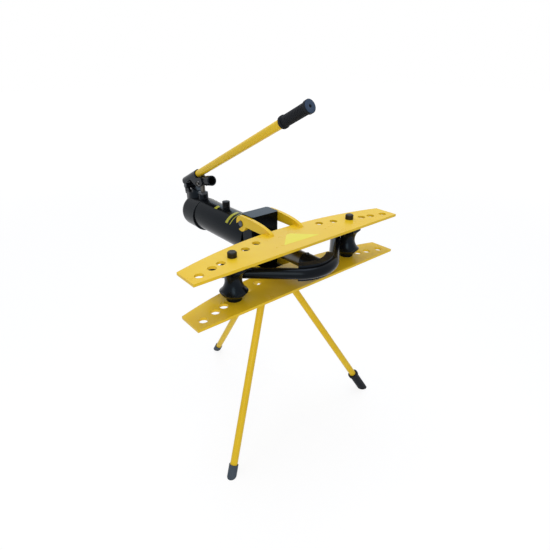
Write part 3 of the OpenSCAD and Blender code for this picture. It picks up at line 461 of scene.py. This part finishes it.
# Weld round the foot of the filler neck: a ring of drops that is let down onto the reservoir's curve.
NECK_R = 0.011
NECK_WELD_LEG = 0.0026
NECK_SQUEEZE = 0.7
NECK_DROPS = 22
tube_low, tube_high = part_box("reservoir_tube")
plug_low, plug_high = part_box("filler_plug")
tube_r = tube_high[0]
axis_z = tube_low[2] + tube_r
neck_y = (plug_low[1] + plug_high[1]) / 2
neck_weld = weld_drop((NECK_R, neck_y, axis_z + tube_r), NECK_WELD_LEG, (1, NECK_SQUEEZE, 1))
into_mesh()
edit()
bpy.ops.mesh.spin(steps=NECK_DROPS, dupli=True, angle=math.tau, center=(0, neck_y, axis_z), axis=(0, 0, 1))
leave()
for v in neck_weld.data.vertices:
    v.co.z -= tube_r - math.sqrt(tube_r ** 2 - v.co.x ** 2)
settle(fused([neck_weld]), "filler_neck_weld", black_enamel, "frame")

# Neck of the pump casting: a rounded tower that joins the plunger's barrel to the lever's fork, with a saddle
# on it. The saddle's top slopes so that it stays clear of the lever's cheeks at the handle's lowest stroke.
TOWER_MIDDLE = (0, 0.3335, 0.7200)
TOWER_HALF_SIZE = (0.0310, 0.0430, 0.0350)
TOWER_TAPER = 0.97
SADDLE_MIDDLE = (0, 0.3180, 0.7400)
SADDLE_HALF_SIZE = (0.0250, 0.0275, 0.0290)
SADDLE_TAPER = 0.92
SADDLE_SLOPE = math.radians(14)
CASTING_VOXEL = 0.0013
CASTING_ROUNDS = 8


def post(middle, half_size, taper, slope):
    """An oval post; its top is narrower by the taper and leans up towards the rear by the slope."""
    start_afresh()
    bpy.ops.mesh.primitive_cylinder_add(vertices=48, radius=1, depth=2, location=middle, scale=half_size)
    made = bpy.context.object
    into_mesh()
    top = (0, middle[1], middle[2] + half_size[2])
    edit_only(made, "vertices", lambda v: v.co.z > middle[2])
    bpy.ops.transform.resize(value=(taper, taper, 1), center_override=top)
    bpy.ops.transform.rotate(value=-slope, orient_axis="X", center_override=top)
    leave()
    return made


neck = fused([
    post(TOWER_MIDDLE, TOWER_HALF_SIZE, TOWER_TAPER, 0),
    post(SADDLE_MIDDLE, SADDLE_HALF_SIZE, SADDLE_TAPER, SADDLE_SLOPE),
], CASTING_VOXEL, CASTING_ROUNDS)
settle(neck, "pump_neck", black_casting, "frame")

# Bare films: a lime one on the upper plate, and on the reservoir a black band with two strips on it and a
# small one, these in the lime film darkened to olive as painted shade. Their places along the machine count
# from the plates' outermost holes, and their spans on the reservoir are degrees from its right side up over
# the top.
FILM = 0.0003
FILM_CORNER_R = 0.004
HOLE_TO_FRONT = 0.032
BAND_SPAN = (86, 147)
STRIP_SPAN = (87, 146)
STRIP_MARGIN = 0.001
FRONT_STRIP_W = 0.004
REAR_STRIP_W = 0.014
SMALL_SPAN = (99, 117)
hole_y = plate_low[1] + HOLE_TO_FRONT
plate_corners = (
    (-0.0765, hole_y + 0.0095),
    (0.0607, hole_y + 0.0045),
    (-0.018, hole_y + 0.068),
    (-0.002, hole_y + 0.067),
)
band = (hole_y + 0.330, hole_y + 0.363)
front_strip = (band[0] + STRIP_MARGIN, band[0] + STRIP_MARGIN + FRONT_STRIP_W)
rear_strip = (band[1] - STRIP_MARGIN - REAR_STRIP_W, band[1] - STRIP_MARGIN)
small_film = (hole_y + 0.454, hole_y + 0.470)


def move_corner(film, index, place):
    """Moves one corner of a flat film to its place."""
    way = Vector(place) - film.data.vertices[index].co
    edit_only(film, "vertices", lambda v: v.index == index)
    bpy.ops.transform.translate(value=way)


def flat_film(name, corners, level, material):
    """A film with rounded corners on a level face."""
    start_afresh()
    bpy.ops.mesh.primitive_plane_add(size=0.1, location=(0, 0, level))
    film = bpy.context.object
    into_mesh()
    for index, corner in enumerate(corners):
        move_corner(film, index, (*corner, level))
    bpy.ops.mesh.select_all(action="SELECT")
    bpy.ops.mesh.bevel(offset=FILM_CORNER_R, segments=5, affect="VERTICES")
    thicken(FILM)
    settle(film, name, material, "frame")


def wrapped_film(name, ends, span, lift, material):
    """A film round part of the reservoir: between two ends along it and two angles over its top."""
    front, rear = ends
    low, high = span
    start_afresh()
    bpy.ops.mesh.primitive_cylinder_add(
        vertices=360, radius=tube_r + lift, depth=rear - front, end_fill_type="NOTHING",
        location=(0, (front + rear) / 2, axis_z), rotation=(math.pi / 2, 0, 0))
    film = bpy.context.object
    into_mesh()

    def uncovered(face):
        return not low < math.degrees(math.atan2(face.center.z - axis_z, face.center.x)) < high

    edit_only(film, "polygons", uncovered)
    bpy.ops.mesh.delete(type="FACE")
    leave()
    shape(film, "SOLIDIFY", thickness=FILM, offset=1)
    smooth_faces()
    settle(film, name, material, "frame")


flat_film("plate_film", plate_corners, plate_high[2], lime_vinyl)
wrapped_film("tube_film", band, BAND_SPAN, 0, black_vinyl)
wrapped_film("tube_film_front_strip", front_strip, STRIP_SPAN, FILM, shaded_lime_vinyl)
wrapped_film("tube_film_rear_strip", rear_strip, STRIP_SPAN, FILM, shaded_lime_vinyl)
wrapped_film("tube_small_film", small_film, SMALL_SPAN, 0, shaded_lime_vinyl)

# Painted reflection on the grip's end: a flat ring on its end face, square to the handle, coloured a lighter
# blue-grey where the sky is mirrored.
RING_R = 0.0182
RING_HOLE_R = 0.0045
RING_T = 0.0008
RING_BEVEL = 0.0003
HANDLE_RISE = math.radians(25.4)
along_handle = Vector((0, -math.cos(HANDLE_RISE), math.sin(HANDLE_RISE)))
grip_low, grip_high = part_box("handle_grip")
collar_r = (grip_high[0] - grip_low[0]) / 2
grip_end = Vector((0, grip_low[1] + collar_r * math.sin(HANDLE_RISE),
                   grip_high[2] - collar_r * math.cos(HANDLE_RISE)))
start_afresh()
bpy.ops.mesh.primitive_circle_add(vertices=64, radius=RING_R, fill_type="NGON", location=(0, 0, 0))
reflection_ring = bpy.context.object
edit()
bpy.ops.mesh.inset(thickness=RING_R - RING_HOLE_R)
bpy.ops.mesh.delete(type="FACE")
thicken(RING_T)
shape(reflection_ring, "BEVEL", width=RING_BEVEL, segments=2, limit_method="ANGLE")
reflection_ring.rotation_euler = along_handle.to_track_quat("Z", "Y").to_euler()
reflection_ring.location = grip_end
smooth_faces()
settle(reflection_ring, "grip_end_reflection_ring", grip_end_reflection, "handle")

# Camera: the photograph's viewpoint, left of the bend and above the plates.
CAMERA_PLACE = (-0.804463, -1.144134, 1.227982)
CAMERA_DIP = math.radians(27.495)
CAMERA_TURN = math.radians(-39.5796)
SENSOR_MM = 36
LENS_MM = 27.2
camera_data = bpy.data.cameras.new("camera")
camera_data.sensor_width = SENSOR_MM
camera_data.lens = LENS_MM
camera = bpy.data.objects.new("camera", camera_data)
scene.collection.objects.link(camera)
camera.location = CAMERA_PLACE
camera.rotation_euler = (math.pi / 2 - CAMERA_DIP, 0, CAMERA_TURN)
scene.camera = camera


def seen_directly(tree):
    """A socket that is 1 for rays that show the background: straight, mirrored or through glass."""
    path = add(tree, "ShaderNodeLightPath").outputs
    seen = add(tree, "ShaderNodeMath", {
        0: path["Is Camera Ray"], 1: path["Is Glossy Ray"]}, operation="MAXIMUM")
    seen = add(tree, "ShaderNodeMath", {
        0: seen.outputs[0], 1: path["Is Transmission Ray"]}, operation="MAXIMUM")
    return seen.outputs[0]


# World: plain white to the eye and in reflections, soft light otherwise.
SOFT_LIGHT = 0.52
scene.view_settings.view_transform = "Standard"
world = bpy.data.worlds.new("studio")
scene.world = world
world.use_nodes = True
sky = world.node_tree
sky.nodes.clear()
soft = add(sky, "ShaderNodeBackground", {"Color": linear("#F2F6FF"), "Strength": SOFT_LIGHT})
white = add(sky, "ShaderNodeBackground", {"Color": WHITE, "Strength": 1.0})
mixed = add(sky, "ShaderNodeMixShader", {0: seen_directly(sky), 1: soft.outputs[0], 2: white.outputs[0]})
add(sky, "ShaderNodeOutputWorld", {"Surface": mixed.outputs[0]})


# White paper: diffuse, so that it keeps the object's shadow, under a glow that makes it look plain white
# where it is seen. Near the object the glow leaves room for the shadow, far off it covers the paper.
def paper_floor(name):
    near = 1.2
    far = 6.0
    near_share = 0.8
    glow_strength = 1.05
    material, tree, at = blank_material(name)
    reach = add(tree, "ShaderNodeVectorMath", {0: at}, operation="LENGTH")
    fade = add(tree, "ShaderNodeMapRange", {
        "Value": reach.outputs["Value"], "From Min": near, "From Max": far,
        "To Min": near_share, "To Max": 1.0})
    share = add(tree, "ShaderNodeMath", {0: seen_directly(tree), 1: fade.outputs[0]}, operation="MULTIPLY")
    paper = add(tree, "ShaderNodeBsdfDiffuse", {"Color": linear("#F8F8F8")})
    glow = add(tree, "ShaderNodeEmission", {"Color": WHITE, "Strength": glow_strength})
    shader = add(tree, "ShaderNodeMixShader", {
        0: share.outputs[0], 1: paper.outputs[0], 2: glow.outputs[0]})
    add(tree, "ShaderNodeOutputMaterial", {"Surface": shader.outputs[0]})
    return material


FLOOR_SIZE = 40
start_afresh()
bpy.ops.mesh.primitive_plane_add(size=FLOOR_SIZE, location=(0, 0, 0))
floor = bpy.context.object
floor.name = "floor"
paint(floor, paper_floor("white_paper_floor"))


def lamp(name, place, aim, size, watts, colour):
    """A round area lamp at a place, turned to what it lights."""
    data = bpy.data.lights.new(name, "AREA")
    data.shape = "DISK"
    data.size = size
    data.energy = watts
    data.color = linear(colour)[:3]
    made = bpy.data.objects.new(name, data)
    scene.collection.objects.link(made)
    made.location = place
    made.rotation_euler = (Vector(aim) - Vector(place)).to_track_quat("-Z", "Y").to_euler()


# Soft studio light: a broad lamp overhead, key and fill from the front left, a faint blue lamp behind.
lamp("overhead", place=(0.3, 0.4, 3.2), aim=(0, 0, 0.7), size=2.4, watts=44, colour="#F2F4FF")
lamp("key", place=(-1.6, -2.2, 2.6), aim=(0, 0, 0.7), size=1.2, watts=12, colour="#FFFAF0")
lamp("fill", place=(-1.9, -2.3, 1.5), aim=(0, 0, 0.55), size=1.6, watts=18, colour="#FFFAF0")
lamp("back", place=(1.66, 2.1, 2.25), aim=(0, 0.1, 0.75), size=1.6, watts=5, colour="#84C4F4")
